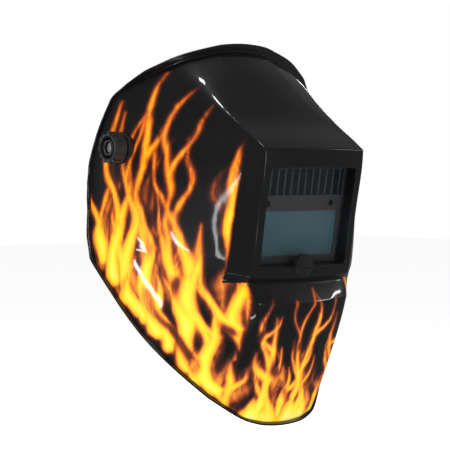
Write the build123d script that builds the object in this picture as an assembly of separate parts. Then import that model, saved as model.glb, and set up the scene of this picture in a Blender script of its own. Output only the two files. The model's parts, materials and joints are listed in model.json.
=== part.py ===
"""Auto-darkening welding helmet: a shell with its filter cartridge, hinged on a ratchet headgear.

Millimetres. The origin is the middle of the tilt axis, between the two pivot bolts, where the wearer's
head is. +X is the wearer's left, -Y is forward, +Z is up. The shell stands in its lowered position.
"""

from build123d import *
import os
from math import cos, pi, radians, sin, sqrt

# ---------------------------------------------------------------- shell
WALL = 2.6                      # moulded wall of the shell
FAN_Y, FAN_Z = 90.0, -40.0      # every section plane of the shell passes through this line along X
INNER_R = 15.0                  # how near that line the hollow is cut
SIDE_LIP = 3.2                  # bead along the rear edges
TOP_LIP = 9.0                   # raised flange over the forehead edge
CHIN_LIP = 4.0                  # flange along the lower edge
LIP_DEG = 0.9                   # angular thickness of those two flanges

# Half sections in fan planes: angle above the horizon, radius at the middle, then (x, radius) of the
# forehead panel edge, the front corner, the side corner, two points on the cheek and the rear edge.
STATIONS = [
    (-49.7, 267.0, (24.0, 264.5), (40.6, 258.5), (65.0, 232.5), (90.0, 192.5), (107.0, 148.0), (118.0, 77.0)),
    (-38.0, 241.0, (27.0, 239.5), (48.0, 235.5), (73.0, 211.0), (96.0, 170.0), (112.0, 122.0), (121.0, 63.0)),
    (-25.2, 226.5, (30.0, 225.0), (53.8, 220.5), (77.5, 194.0), (99.5, 153.0), (113.5, 109.0), (121.5, 56.0)),
    (-22.0, 209.5, (50.0, 206.9), (58.0, 205.5), (76.5, 194.5), (99.5, 152.0), (113.8, 108.0), (121.5, 55.0)),
    (-20.2, 212.0, (50.0, 209.9), (58.7, 208.6), (76.0, 195.0), (99.5, 151.5), (114.0, 107.5), (121.5, 54.5)),
    (-5.0, 209.4, (50.0, 207.4), (58.9, 206.1), (73.0, 192.0), (98.0, 150.5), (114.3, 107.0), (121.5, 51.0)),
    (10.1, 222.6, (54.0, 219.4), (59.0, 218.4), (70.0, 202.6), (96.5, 152.0), (114.3, 108.0), (121.5, 52.0)),
    (18.3, 195.0, (48.4, 192.8), (59.7, 192.4), (77.0, 173.5), (98.5, 143.0), (114.5, 107.0), (121.5, 55.5)),
    (28.0, 184.0, (37.4, 180.8), (62.0, 174.5), (86.0, 155.0), (102.0, 132.0), (115.5, 104.0), (121.5, 62.0)),
    (38.0, 178.5, (31.0, 175.5), (63.0, 166.0), (90.0, 146.0), (106.0, 124.0), (116.5, 101.0), (121.0, 80.0)),
    (43.0, 176.5, (29.5, 173.5), (63.0, 163.0), (91.5, 143.0), (106.5, 125.0), (115.5, 108.0), (119.0, 96.0)),
    (47.0, 175.0, (28.0, 172.5), (63.0, 161.0), (93.0, 141.0), (105.0, 129.0), (111.5, 121.0), (115.5, 113.0)),
]

# ---------------------------------------------------------------- lens housing, in the face's own plane
FACE_TILT = 9.7                 # the face overhangs by this angle
FACE_Y, FACE_Z = -115.6, -60.5  # middle of the viewing aperture on the front face
APERTURE = (102.0, 86.0)
APERTURE_CORNER = 2.5
CARTRIDGE = (110.0, 90.0, 10.0)
CARTRIDGE_FRONT = -12.5         # depth of the cartridge's front below the face
BADGE_R, BADGE_LOW, BADGE_TOP = 10.5, -1.35, 3.0
SCREW_R, SCREW_HEAD_R = 1.2, 2.2

# ---------------------------------------------------------------- filter cartridge, in face coordinates
CASE_SPLIT = -16.5              # where the two halves of its case meet
SOLAR = (99.0, 24.0, 29.0)      # width, height, middle height
VIEW = (93.0, 40.0, -17.0)      # width, height, middle height
SENSOR_X, SENSOR_V, SENSOR_R = 38.0, 10.0, 2.9
DIAL_V = 28.0                   # the controls stand in one row on the back
SHADE_U, SENSITIVITY_U, DELAY_U, BUTTON_U, BATTERY_U = 37.0, 14.0, -5.0, -18.0, -36.0
SPINDLE_R, BUTTON_R, CELL_R = 2.0, 3.0, 10.0
HOLDER = (120.0, 100.0)
RETAINER = (118.0, 98.0)
RETAINER_WINDOW = (100.0, 80.0)
POST_U, POST_V = 57.4, 38.0     # screw posts beside the aperture

# ---------------------------------------------------------------- tilt pivots, along +X and mirrored
BOSS_IN, BOSS_OUT, BOSS_R = 109.0, 118.6, 13.5
SPACER_IN = 104.5               # the spacer with the stop lug stands between this and the boss
KEY_R, KEY_LONG, KEY_Z = 1.4, 3.0, -9.8
BUSH_R = 6.0
BOLT_R, BOLT_END, BOLT_HOLE_R = 4.0, 130.0, 4.05
KNOB_IN, KNOB_OUT = 120.6, 132.6
KNOB_BASE_R, KNOB_END_R, KNOB_RIB_R = 13.4, 12.2, 14.2
KNOB_HUB_R = 5.4
KNOB_RIBS = 12
ARM_IN, ARM_OUT, ARM_R = 97.7, 100.7, 16.5
STOP_X = (101.55, 103.3)
LUG_X, LUG_Y, LUG_Z = (103.7, 109.0), (4.3, 8.3), (11.0, 18.5)
TAB_END = 106.0                 # the stop's tab reaches past the lug's inner face to here
SLIDE_HALF, SLOT_HALF = 7.0, 6.0
WASHER_X = (103.35, 104.45)
REACH = 5.0                     # fore and aft travel of the pivots on the headgear, each way
GAP = 0.3                       # clearance between pieces that move past each other
RUNNING = 0.05                  # radial clearance of a turning fit

# ---------------------------------------------------------------- headgear
BAND_TILT = 9.6                 # the band drops towards the nape
BAND_Y, BAND_Z = 33.0, -30.0
BAND_HALF, BAND_FRONT = 78.0, 95.0
BAND_THICK, BAND_HIGH = 1.8, 24.0
BAND_END = 50.0
NAPE_HALF, NAPE_TURN, NAPE_REAR = 75.3, 52.0, 112.0
NAPE_HIGH, NAPE_START = 18.0, 14.0
FRONT_POST, REAR_POST, POST_R = (-14.0, -24.0), (40.0, -31.0), 5.0
RIVET_R = 2.0
CROWN_HALF, CROWN_TOP, CROWN_FOOT = 80.8, 60.0, -27.5
FOOT_Z, CROWN_LAP, PEG_R = -22.0, 14.0, 2.2
CROWN_Y = (8.0, 30.0)
CROWN_THICK = 1.6
PAD_THICK = 5.0
HOUSING_X, HOUSING_HIGH = 32.0, 34.0
RATCHET_BOSS = 122.0
RATCHET_R, RATCHET_LONG = 18.0, 15.0
PINION_R, SHAFT_R, RACK_X = 6.0, 4.0, 22.0

PARTS = {}


def save(name, shape):
    """Keeps a sub-part under its node name."""
    PARTS[name] = shape


def mirrored(shape):
    """The same piece on the wearer's right."""
    return mirror(shape, about=Plane.YZ)


def lathe(points, turn=None):
    """A solid of revolution about local X, from (x, radius) points."""
    outline = Polyline(*[(x, r, 0) for x, r in points], close=True)
    return revolve(make_face(outline), axis=Axis.X)


def rod_x(x0, x1, radius, y=0.0, z=0.0):
    """A round rod along X."""
    return Plane(origin=(x0, y, z), z_dir=(1, 0, 0)) * extrude(Circle(radius), x1 - x0)


def block(x, y, z):
    """A box from its three (low, high) ranges."""
    size = [high - low for low, high in (x, y, z)]
    middle = [(high + low) / 2 for low, high in (x, y, z)]
    return Pos(*middle) * Box(*size)


# ---------------------------------------------------------------- shell sections
def fan_point(x, radius, angle):
    """A point of a fan plane in the part's frame."""
    turn = radians(angle)
    return Vector(x, FAN_Y - radius * cos(turn), FAN_Z + radius * sin(turn))


def grown(points, amounts):
    """Half outline moved outwards along its own normals by one amount for each point."""
    moved = []
    for i, (x, r) in enumerate(points):
        before = points[i - 1] if i else (-points[1][0], points[1][1])
        after = points[i + 1] if i + 1 < len(points) else (x, r - 1.0)
        normals = []
        for (xa, ra), (xb, rb) in ((before, (x, r)), ((x, r), after)):
            long = sqrt((xb - xa) ** 2 + (rb - ra) ** 2)
            normals.append((-(rb - ra) / long, (xb - xa) / long))
        nx, nr = normals[0][0] + normals[1][0], normals[0][1] + normals[1][1]
        share = 2.0 / (nx * nx + nr * nr)
        moved.append((x + nx * share * amounts[i], r + nr * share * amounts[i]))
    return moved


def half_outline(station):
    """The half outline of a station, from the middle to the rear edge."""
    return [(0.0, station[1]), *station[2:]]


def outline_face(points, angle, tail):
    """A closed section: crown, corners and cheeks from the half outline, then the straight tail points."""
    crown, panel, front, side, cheek, jaw, rear = points

    def at(p, sign=1):
        return fan_point(sign * p[0], p[1], angle)

    edges = [ThreePointArc(at(panel, -1), at(crown), at(panel))]
    for sign in (1, -1):
        edges.append(Line(at(panel, sign), at(front, sign)))
        edges.append(Line(at(front, sign), at(side, sign)))
        edges.append(Spline(*[at(p, sign) for p in (side, cheek, jaw, rear)]))
        steps = [rear, *tail]
        for a, b in zip(steps, steps[1:]):
            edges.append(Line(at(a, sign), at(b, sign)))
    edges.append(Line(at(tail[-1]), at(tail[-1], -1)))
    return make_face(Curve() + edges)


def outer_section(station):
    """The outside of the shell at one station, with the bead along its rear edge."""
    points = half_outline(station)
    x, r = points[-1]
    points[-1] = (x, r + SIDE_LIP)
    return outline_face(points, station[0], [(x + SIDE_LIP, r + SIDE_LIP), (x + SIDE_LIP, r)])


def inner_section(station, angle=None):
    """The hollow of the shell at one station, running back past the rear edge."""
    points = grown(half_outline(station), [-WALL] * 7)
    x = points[-1][0]
    middle = (INNER_R + points[-1][1]) / 2
    return outline_face(points, station[0] if angle is None else angle, [(x, middle), (x, INNER_R)])


def flange(station, amounts, from_angle, to_angle):
    """A thin raised rim between two fan planes, outside one station's outline."""
    points = grown(half_outline(station), amounts)
    x, r = points[-1]
    tail = [(x, (r + INNER_R) / 2), (x, station[-1][1])]
    ends = [outline_face(points, angle, tail) for angle in (from_angle, to_angle)]
    return loft(ends, ruled=True)


def face_plane(offset=0.0):
    """The plane of the front face: local X is +X, local Y runs up the face, local Z points out of it."""
    tilt = radians(FACE_TILT)
    out = Vector(0, -cos(tilt), -sin(tilt))
    return Plane(origin=Vector(0, FACE_Y, FACE_Z) + out * offset, x_dir=(1, 0, 0), z_dir=out)


def plate(width, height, low, high, at=(0.0, 0.0), corner=1.0):
    """A plate parallel to the front face, between two depths."""
    sketch = Pos(*at) * RectangleRounded(width, height, corner)
    return face_plane(low) * extrude(sketch, high - low)


def stud(radius, low, high, at=(0.0, 0.0)):
    """A round rod square to the front face, between two depths."""
    return face_plane(low) * Pos(*at) * extrude(Circle(radius), high - low)


def at_side(shape, sign):
    """The piece on the wearer's left (+1) or right (-1)."""
    return shape if sign > 0 else mirrored(shape)


def group(shapes):
    """Separate solids that share one node."""
    return Compound(children=[solid for shape in shapes for solid in shape.solids()])


def pair(shape):
    """The piece and its mirror image."""
    return group([shape, mirrored(shape)])


def post_spots():
    """The four screw places beside the aperture, in the face's plane."""
    return [(u, v) for u in (-POST_U, POST_U) for v in (-POST_V, POST_V)]


def helmet_shell():
    """The moulded shell with its window tunnel, screw posts and pivot bosses."""
    first, last = STATIONS[0], STATIONS[-1]
    body = loft([outer_section(s) for s in STATIONS], ruled=True)
    body += flange(last, [TOP_LIP, TOP_LIP, TOP_LIP, 7.5, 6.0, 5.0, SIDE_LIP], last[0] - LIP_DEG, last[0])
    body += flange(first, [CHIN_LIP] * 6 + [SIDE_LIP], first[0], first[0] + LIP_DEG)
    hollow = [inner_section(first, first[0] - 2.0)]
    hollow += [inner_section(s) for s in STATIONS]
    hollow += [inner_section(last, last[0] + 2.0)]
    body -= loft(hollow, ruled=True)
    width, height = APERTURE
    body += plate(width + 5, height + 5, -9.6, -1.6, corner=3.0)
    for spot in post_spots():
        body += stud(2.6, -10.1, -2.8, at=spot)
        body -= stud(SCREW_R, -10.2, -5.0, at=spot)
    body -= plate(width, height, -12.0, 8.0, corner=APERTURE_CORNER)
    body -= stud(BADGE_R + 0.1, BADGE_LOW - 0.05, 6.0, at=(0, -height / 2))
    for sign in (1, -1):
        body += at_side(rod_x(BOSS_IN, BOSS_OUT, BOSS_R), sign)
        body -= at_side(rod_x(BOSS_OUT, BOSS_OUT + 8, KNOB_RIB_R + 1.0), sign)
        body -= at_side(rod_x(BOSS_IN - 5, BOSS_OUT + 5, BUSH_R), sign)
        body -= at_side(rod_x(BOSS_IN - 5, BOSS_IN + KEY_LONG + GAP, KEY_R + RUNNING, z=KEY_Z), sign)
    return body


def window_parts():
    """The clear cover lens, its seal, and the blank badge below the window."""
    width, height = APERTURE
    seal = plate(width + 6, height + 3, -10.3, -9.65, corner=2) - plate(width, height, -11, -9, corner=2)
    save("lens_seal", seal)
    save("front_cover_lens", plate(CARTRIDGE[0], CARTRIDGE[1], -11.5, -10.35, corner=4))
    save("badge_disc", stud(BADGE_R, BADGE_LOW, BADGE_TOP, at=(0, -height / 2)))


def cartridge_parts():
    """The auto-darkening filter: case halves, cells, glass, board, battery and controls."""
    width, height, deep = CARTRIDGE
    front, back = CARTRIDGE_FRONT, CARTRIDGE_FRONT - deep
    solar_w, solar_h, solar_v = SOLAR
    view_w, view_h, view_v = VIEW
    sensor_spots = [(-SENSOR_X, SENSOR_V), (SENSOR_X, SENSOR_V)]

    case = plate(width, height, CASE_SPLIT, front, corner=4)
    case -= plate(solar_w, solar_h, front - 1.4, front + 1, at=(0, solar_v))
    case -= plate(view_w, view_h, CASE_SPLIT - 1, front + 1, at=(0, view_v))
    for spot in sensor_spots:
        case -= stud(SENSOR_R, CASE_SPLIT - 1, front + 1, at=spot)
    save("filter_front_case", case)
    save("solar_panel", plate(solar_w, solar_h, front - 1.4, front - 0.3, at=(0, solar_v)))
    save("arc_sensors", group([stud(SENSOR_R, front - 3.5, front - 0.6, at=spot) for spot in sensor_spots]))
    save("uv_ir_glass", plate(view_w, view_h, front - 2.4, front - 0.8, at=(0, view_v)))
    save("lcd_cell", plate(view_w, view_h, front - 6.0, front - 2.4, at=(0, view_v)))

    rear = plate(width, height, back, CASE_SPLIT, corner=4)
    rear -= plate(view_w, view_h, back - 1, CASE_SPLIT + 1, at=(0, view_v))
    rear -= plate(104, 30, back + 2.4, CASE_SPLIT + 1, at=(0, DIAL_V))
    for u in (SHADE_U, SENSITIVITY_U, DELAY_U):
        rear -= stud(SPINDLE_R + RUNNING, back - 1, back + 3, at=(u, DIAL_V))
    rear -= stud(BUTTON_R + RUNNING, back - 1, back + 3, at=(BUTTON_U, DIAL_V))
    rear -= stud(CELL_R + 0.2, back - 1, back + 3, at=(BATTERY_U, DIAL_V))
    save("filter_rear_case", rear)
    board = plate(102, 28, back + 3.6, back + 5.2, at=(0, DIAL_V))
    save("circuit_board", board)
    save("coin_cell", stud(CELL_R, back + 0.2, back + 3.4, at=(BATTERY_U, DIAL_V)))
    save("battery_cover", battery_cover(back))
    save("shade_dial", dial(9.5, SHADE_U, back))
    save("sensitivity_dial", dial(6.5, SENSITIVITY_U, back))
    save("delay_dial", dial(6.5, DELAY_U, back))
    save("test_button", stud(BUTTON_R, back - 2.2, back + 2.0, at=(BUTTON_U, DIAL_V)))
    save("inner_cover_lens", plate(96, 46, back - 1.1, back - 0.1, at=(0, view_v), corner=2))


def battery_cover(back):
    """A sliding door over the cell, with three finger ribs."""
    cover = plate(24, 21, back - 1.3, back - 0.1, at=(BATTERY_U, DIAL_V), corner=2)
    for step in (-3.0, 0.0, 3.0):
        cover += plate(1.2, 13, back - 1.9, back - 1.2, at=(BATTERY_U + step, DIAL_V), corner=0.5)
    return cover


def dial(radius, u, back):
    """A fluted dial with its spindle and a raised pointer."""
    knob = stud(radius, back - 3.6, back - 0.3, at=(u, DIAL_V))
    flutes = round(radius * 2)
    for i in range(flutes):
        turn = 2 * pi * i / flutes
        spot = (u + (radius + 0.3) * cos(turn), DIAL_V + (radius + 0.3) * sin(turn))
        knob -= stud(0.7, back - 4, back, at=spot)
    knob += plate(1.4, radius * 1.2, back - 4.4, back - 3.5, at=(u, DIAL_V), corner=0.6)
    return knob + stud(SPINDLE_R, back - 1.0, back + 3.4, at=(u, DIAL_V))


def holder_parts():
    """The frame that carries the cartridge, its screws, the retainer and its sliding lock."""
    back = CARTRIDGE_FRONT - CARTRIDGE[2]
    width, height = HOLDER
    holder = plate(width, height, back, -10.2, corner=6)
    holder -= plate(CARTRIDGE[0] + 0.4, CARTRIDGE[1] + 0.4, back - 1, -9, corner=4)
    screws = []
    for spot in post_spots():
        holder -= stud(SCREW_R, back - 1, -9, at=spot)
        holder -= stud(SCREW_HEAD_R, back - 1, back + 2, at=spot)
        screws.append(stud(SCREW_R, back + 1, -5.2, at=spot) + stud(SCREW_HEAD_R, back + 0.4, back + 2, at=spot))
    top = height / 2
    holder += plate(22, 2.4, back - 6.2, back + 8, at=(0, top + 1.0), corner=0.6)
    holder += plate(22, 3.6, back - 6.2, back - 4.6, at=(0, top + 0.4), corner=0.6)
    save("filter_holder", holder)
    save("holder_screws", group(screws))
    retainer = plate(width - 2, height - 2, back - 2.4, back - 0.2, corner=5)
    retainer -= plate(*RETAINER_WINDOW, back - 3, back + 1, corner=3)
    for u in (-36.0, 36.0):
        retainer += plate(12, 2.0, back - 2.4, back + 6, at=(u, -height / 2 - 1.3), corner=0.6)
        retainer += plate(12, 3.4, back - 2.4, back - 0.2, at=(u, -height / 2 - 0.6), corner=0.6)
    save("retainer_frame", retainer)
    low, high = top - 9, top - 0.4
    latch = plate(18, high - low, back - 4.4, back - 2.5, at=(0, (low + high) / 2), corner=1.5)
    latch += plate(14, 1.4, back - 5.4, back - 4.3, at=(0, low + 2), corner=0.6)
    latch += plate(14, 1.4, back - 5.4, back - 4.3, at=(0, low + 5), corner=0.6)
    save("retainer_lock", latch)


# ---------------------------------------------------------------- pivots
def tension_knob():
    """A ribbed cup with a hub around its threaded insert, along +X."""
    hub_end = KNOB_OUT - 1.2
    outline = [(KNOB_IN, KNOB_HUB_R), (KNOB_IN, KNOB_BASE_R), (KNOB_IN + 1.5, KNOB_BASE_R)]
    outline += [(KNOB_OUT - 1, KNOB_END_R), (KNOB_OUT, KNOB_END_R - 0.6), (KNOB_OUT, KNOB_END_R - 2.0)]
    outline += [(KNOB_IN + 3.4, KNOB_END_R - 1.2), (KNOB_IN + 3.4, KNOB_HUB_R + 1.8)]
    outline += [(hub_end, KNOB_HUB_R + 1.4), (hub_end, KNOB_HUB_R)]
    knob = lathe(outline)
    for i in range(KNOB_RIBS):
        rib = block((KNOB_IN + 2.0, KNOB_OUT - 1.2), (KNOB_END_R - 0.6, KNOB_RIB_R), (-1.2, 1.2))
        knob += Rot(360 * i / KNOB_RIBS, 0, 0) * rib
    return knob


def pivot_parts():
    """Bolts, slide blocks, stops, washers, bushes and tension knobs on the tilt axis."""
    bore = rod_x(ARM_IN - 6, KNOB_OUT, BOLT_R)
    block_out = ARM_OUT + 0.5
    slide = block((ARM_IN - GAP, block_out), (-SLIDE_HALF, SLIDE_HALF), (-SLOT_HALF, SLOT_HALF))
    slide += block((ARM_IN - 2.5, ARM_IN - GAP), (-9, 9), (-9, 9))
    save("slide_blocks", pair(slide - bore))
    bolt = rod_x(ARM_IN - 2.5, BOLT_END, BOLT_R)
    bolt += lathe([(ARM_IN - 5.5, 0), (ARM_IN - 5.5, 5), (ARM_IN - 4.0, 8), (ARM_IN - 2.5, 8), (ARM_IN - 2.5, 0)])
    save("pivot_bolts", pair(bolt))
    stop = rod_x(*STOP_X, 11.0) + block(STOP_X, (-4, 4), (0, LUG_Z[1]))
    stop += block((STOP_X[0], TAB_END), (-4, 4), (BOSS_R + 1.0, LUG_Z[1]))
    save("angle_stops", pair(stop - bore))
    spacer = rod_x(SPACER_IN, BOSS_IN, BOSS_R) + block(LUG_X, LUG_Y, LUG_Z)
    spacer += rod_x(BOSS_IN, BOSS_IN + KEY_LONG, KEY_R, z=KEY_Z)
    save("pivot_spacers", pair(spacer - rod_x(SPACER_IN - 2, BOSS_IN + 1, BUSH_R)))
    save("friction_washers", pair(rod_x(*WASHER_X, 10.5) - rod_x(WASHER_X[0] - 1, WASHER_X[1] + 1, BOLT_HOLE_R)))
    bush = rod_x(SPACER_IN, BOSS_OUT, BUSH_R) - rod_x(SPACER_IN - 1, BOSS_OUT + 1, BOLT_HOLE_R)
    save("pivot_bushes", pair(bush))
    low, high = BOSS_OUT + 0.05, KNOB_IN - 0.05
    spring = lathe([(low, 5.0), (low, 11.0), (low + 1.0, 11.0), (high, 8.0), (high, 5.0)])
    save("spring_washers", pair(spring))
    knob = tension_knob()
    insert = rod_x(KNOB_IN + 0.4, KNOB_OUT - 1.6, KNOB_HUB_R) - rod_x(KNOB_IN - 1, KNOB_OUT, BOLT_HOLE_R)
    for name, sign in (("left", 1), ("right", -1)):
        save("tension_knob_" + name, at_side(knob, sign))
        save("knob_insert_" + name, at_side(insert, sign))


# ---------------------------------------------------------------- headgear
def band_plane(offset=0.0):
    """The plane of the headband: local Y runs to the nape, local Z is up."""
    tilt = radians(BAND_TILT)
    up = Vector(0, sin(tilt), cos(tilt))
    return Plane(origin=Vector(0, BAND_Y, BAND_Z) + up * offset, x_dir=(1, 0, 0), z_dir=up)


def oval(half, long, centre, high, out=0.0):
    """An oval column square to the band, grown by out."""
    sketch = Pos(0, centre) * Ellipse(half + out, long + out)
    return band_plane(-high / 2) * extrude(sketch, high)


def band_block(x, y, z):
    """A box in the band's own directions."""
    return band_plane() * block(x, y, z)


def arc_band(half, long, centre, thick, high, y_range, middle=0.0):
    """The part of an oval hoop between two local y values."""
    hoop = oval(half, long, centre, high, out=middle + thick / 2)
    hoop -= oval(half, long, centre, high + 2, out=middle - thick / 2)
    return hoop & band_block((-200, 200), y_range, (-high, high))


def legs(half, thick, high, y_range):
    """Two straight straps running fore and aft."""
    return [band_block((s * half - thick / 2, s * half + thick / 2), y_range, (-high / 2, high / 2)) for s in (-1, 1)]


def rivet_hole(spot, radius=RIVET_R):
    """A rod along X at one of the arm's post places, on the left side."""
    return rod_x(50, 92, radius, y=spot[0], z=spot[1])


def front_headband():
    """The brow band, open towards the nape."""
    band = arc_band(BAND_HALF, BAND_FRONT, 0, BAND_THICK, BAND_HIGH, (-200, 0))
    for leg in legs(BAND_HALF, BAND_THICK, BAND_HIGH, (0, BAND_END)):
        band += leg
    for spot in (FRONT_POST, REAR_POST):
        hole = rivet_hole(spot)
        band = band - hole - mirrored(hole)
    foot = rod_x(60, 95, RIVET_R, y=sum(CROWN_Y) / 2, z=FOOT_Z)
    return band - foot - mirrored(foot)


def headgear_parts():
    """Brow band, side arms with their rivets, and the brow pad."""
    band = front_headband()
    save("front_headband", band)
    outside = oval(BAND_HALF, BAND_FRONT, 0, 90, out=BAND_THICK / 2 + 0.02)
    outside += band_block((-BAND_HALF - 0.92, BAND_HALF + 0.92), (-5, 90), (-45, 45))
    inside = oval(BAND_HALF, BAND_FRONT, 0, 90, out=-BAND_THICK / 2)
    inside += band_block((-BAND_HALF + 0.9, BAND_HALF - 0.9), (-5, 90), (-45, 45))
    disc = Circle(ARM_R)
    for spot in (FRONT_POST, REAR_POST):
        disc = make_hull(disc.edges() + (Pos(*spot) * Circle(POST_R + 1)).edges()) + disc
    side = Plane(origin=(ARM_IN, 0, 0), x_dir=(0, 1, 0), z_dir=(1, 0, 0))
    arm = side * extrude(disc, ARM_OUT - ARM_IN)
    for spot in (FRONT_POST, REAR_POST):
        arm += rod_x(60, ARM_IN + 0.5, POST_R, y=spot[0], z=spot[1]) - outside
        arm -= rivet_hole(spot)
    slot_long, slot_high = SLIDE_HALF + REACH + GAP, SLOT_HALF + RUNNING
    arm -= block((ARM_IN - 1, ARM_OUT + 1), (-slot_long, slot_long), (-slot_high, slot_high))
    save("side_arm_left", arm)
    save("side_arm_right", mirrored(arm))
    rivets = [rivet_hole(spot) - inside for spot in (FRONT_POST, REAR_POST)]
    save("arm_rivets", pair(rivets[0] + rivets[1]))

    inwards = -BAND_THICK / 2 - GAP - PAD_THICK / 2
    pad = arc_band(BAND_HALF, BAND_FRONT, 0, PAD_THICK, BAND_HIGH + 8, (-200, -14), inwards)
    save("sweatband", pad)


def crown_strap(out, x_range):
    """A flat strap over the head, from one side of the band to past the middle."""
    across, rise = CROWN_HALF + out, CROWN_TOP - CROWN_FOOT + out
    y_low, y_high = CROWN_Y
    section = Plane(origin=(0, y_high, CROWN_FOOT), x_dir=(1, 0, 0), z_dir=(0, -1, 0))
    half = CROWN_THICK / 2
    hoop = Ellipse(across + half, rise + half) - Ellipse(across - half, rise - half)
    strap = section * extrude(hoop, y_high - y_low)
    return strap & block(x_range, (y_low - 1, y_high + 1), (CROWN_FOOT, CROWN_TOP + 20))


def crown_parts():
    """The two crown straps, the pegs that join them and their feet on the band."""
    middle = sum(CROWN_Y) / 2
    step = CROWN_THICK + GAP
    straps = [crown_strap(0.0, (-CROWN_LAP, 200)), crown_strap(step, (-200, CROWN_LAP))]
    pegs = []
    for x in (-CROWN_LAP / 2, CROWN_LAP / 2):
        shank = Pos(x, middle, CROWN_TOP) * extrude(Circle(PEG_R), 5.0, both=True)
        shank &= block((-30, 30), (0, 60), (CROWN_TOP - CROWN_THICK, CROWN_TOP + step + CROWN_THICK))
        head = Pos(x, middle, CROWN_TOP + step + CROWN_THICK / 2 + 0.02) * extrude(Circle(PEG_R + 1.5), 1.4)
        pegs.append(shank + head)
        straps = [strap - shank for strap in straps]
    feet = []
    for sign, out in ((1, 0.0), (-1, step)):
        start, end = BAND_HALF - BAND_THICK / 2, CROWN_HALF + out + CROWN_THICK / 2
        foot = at_side(rod_x(start, end + 0.6, RIVET_R, y=middle, z=FOOT_Z), sign)
        cap = at_side(rod_x(end + 0.1, end + 1.2, RIVET_R + 1.5, y=middle, z=FOOT_Z), sign)
        feet.append(foot + cap)
        straps = [strap - foot for strap in straps]
    save("crown_strap_left", straps[0])
    save("crown_strap_right", straps[1])
    save("crown_pegs", group(pegs))
    save("crown_feet", group(feet))


def rod_y(y0, y1, radius, x=0.0, z=0.0):
    """A round rod along the band's own fore and aft direction."""
    start = Plane(origin=(x, y0, z), x_dir=(1, 0, 0), z_dir=(0, 1, 0))
    return band_plane() * start * extrude(Circle(radius), y1 - y0)


def nape_ring(thick, middle, high, half_width):
    """A piece of the hoop behind the head, wrapped around the nape band."""
    ring = arc_band(NAPE_HALF, NAPE_REAR - NAPE_TURN, NAPE_TURN, thick, high, (NAPE_TURN + 1, 300), middle)
    return ring & band_block((-half_width, half_width), (NAPE_TURN, 300), (-high, high))


def nape_parts():
    """The nape band, its ratchet housing, cover, pinion, knob and pad."""
    half = BAND_THICK / 2
    band = nape_ring(BAND_THICK, 0.0, NAPE_HIGH, 200)
    for leg in legs(NAPE_HALF, BAND_THICK, NAPE_HIGH, (NAPE_START, NAPE_TURN + 1.0)):
        band += leg
    band -= band_block((-RACK_X, RACK_X), (90, 130), (-PINION_R - 0.6, PINION_R + 0.6))
    teeth = round(RACK_X / 2.5)
    for i in range(-teeth, teeth):
        tooth = band_block((i * 2.5 + 0.6, i * 2.5 + 1.9), (90, 130), (-PINION_R - 1.6, -PINION_R))
        band -= tooth
    save("nape_band", band)

    rear = NAPE_REAR
    housing = nape_ring(7.6, half + GAP + 3.8, HOUSING_HIGH, HOUSING_X)
    housing += rod_y(rear, RATCHET_BOSS, 15.5) - oval(NAPE_HALF, rear - NAPE_TURN, NAPE_TURN, 90, out=half + GAP)
    housing -= rod_y(rear - 4, RATCHET_BOSS - 1.6, PINION_R + 0.6)
    housing -= rod_y(rear - 4, RATCHET_BOSS + 1, SHAFT_R + RUNNING)
    cover = nape_ring(2.4, -half - GAP - 1.2, HOUSING_HIGH, HOUSING_X)
    cover -= rod_y(rear - 20, rear + 9, SHAFT_R + RUNNING)
    screws = []
    for x in (-25, 25):
        for z in (-13, 13):
            screw = rod_y(rear - 6.2, rear + 2, 1.3, x=x, z=z)
            screws.append(screw)
            housing -= screw
            cover -= screw
    save("ratchet_housing", housing)
    save("ratchet_cover", cover)
    save("housing_screws", group(screws))
    pad = nape_ring(6.0, -half - GAP - 2.4 - GAP - 3.0, HOUSING_HIGH + 8, HOUSING_X + 6)
    save("nape_pad", pad)

    pinion = rod_y(rear - 1.2, RATCHET_BOSS - 1.9, PINION_R) + rod_y(rear - 3, RATCHET_BOSS + 7, SHAFT_R)
    for i in range(12):
        turn = 2 * pi * (i + 0.5) / 12
        x, z = (PINION_R + 0.2) * cos(turn), (PINION_R + 0.2) * sin(turn)
        pinion -= rod_y(rear - 2, RATCHET_BOSS - 1.5, 0.9, x=x, z=z)
    screw_hole = rod_y(RATCHET_BOSS + 3, RATCHET_BOSS + 12, 1.6)
    save("ratchet_pinion", pinion - screw_hole)
    save("ratchet_knob", ratchet_knob() - screw_hole)
    end = RATCHET_BOSS + RATCHET_LONG
    save("knob_screw", screw_hole + rod_y(RATCHET_BOSS + 10, end - 2.6, 3.6))


def ratchet_knob():
    """A fluted knob with a sunk face, behind the housing."""
    start, end = RATCHET_BOSS + GAP, RATCHET_BOSS + RATCHET_LONG
    knob = rod_y(start, end, RATCHET_R)
    rim = knob.edges().group_by(Axis((0, 0, 0), tuple(band_plane().y_dir)))[-1]
    knob = fillet(rim, 2.0)
    flutes = 20
    for i in range(flutes):
        turn = 2 * pi * i / flutes
        x, z = (RATCHET_R + 0.8) * cos(turn), (RATCHET_R + 0.8) * sin(turn)
        knob -= rod_y(start - 1, end + 1, 1.9, x=x, z=z)
    knob -= rod_y(RATCHET_BOSS + 10, end + 1, 3.6)
    knob -= rod_y(end - 2.0, end + 1, RATCHET_R - 5.0)
    return knob - rod_y(start - 1, RATCHET_BOSS + 7, SHAFT_R)


def build():
    """Every piece of the helmet, by node name."""
    save("helmet_shell", helmet_shell())
    window_parts()
    cartridge_parts()
    holder_parts()
    pivot_parts()
    headgear_parts()
    crown_parts()
    nape_parts()


build()
os.makedirs("parts", exist_ok=True)
for name, shape in PARTS.items():
    export_step(shape, f"parts/{name}.step")
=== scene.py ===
"""Looks of an auto-darkening welding helmet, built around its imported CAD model. Metres, +Z up, -Y forward."""

import json
import math

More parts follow.
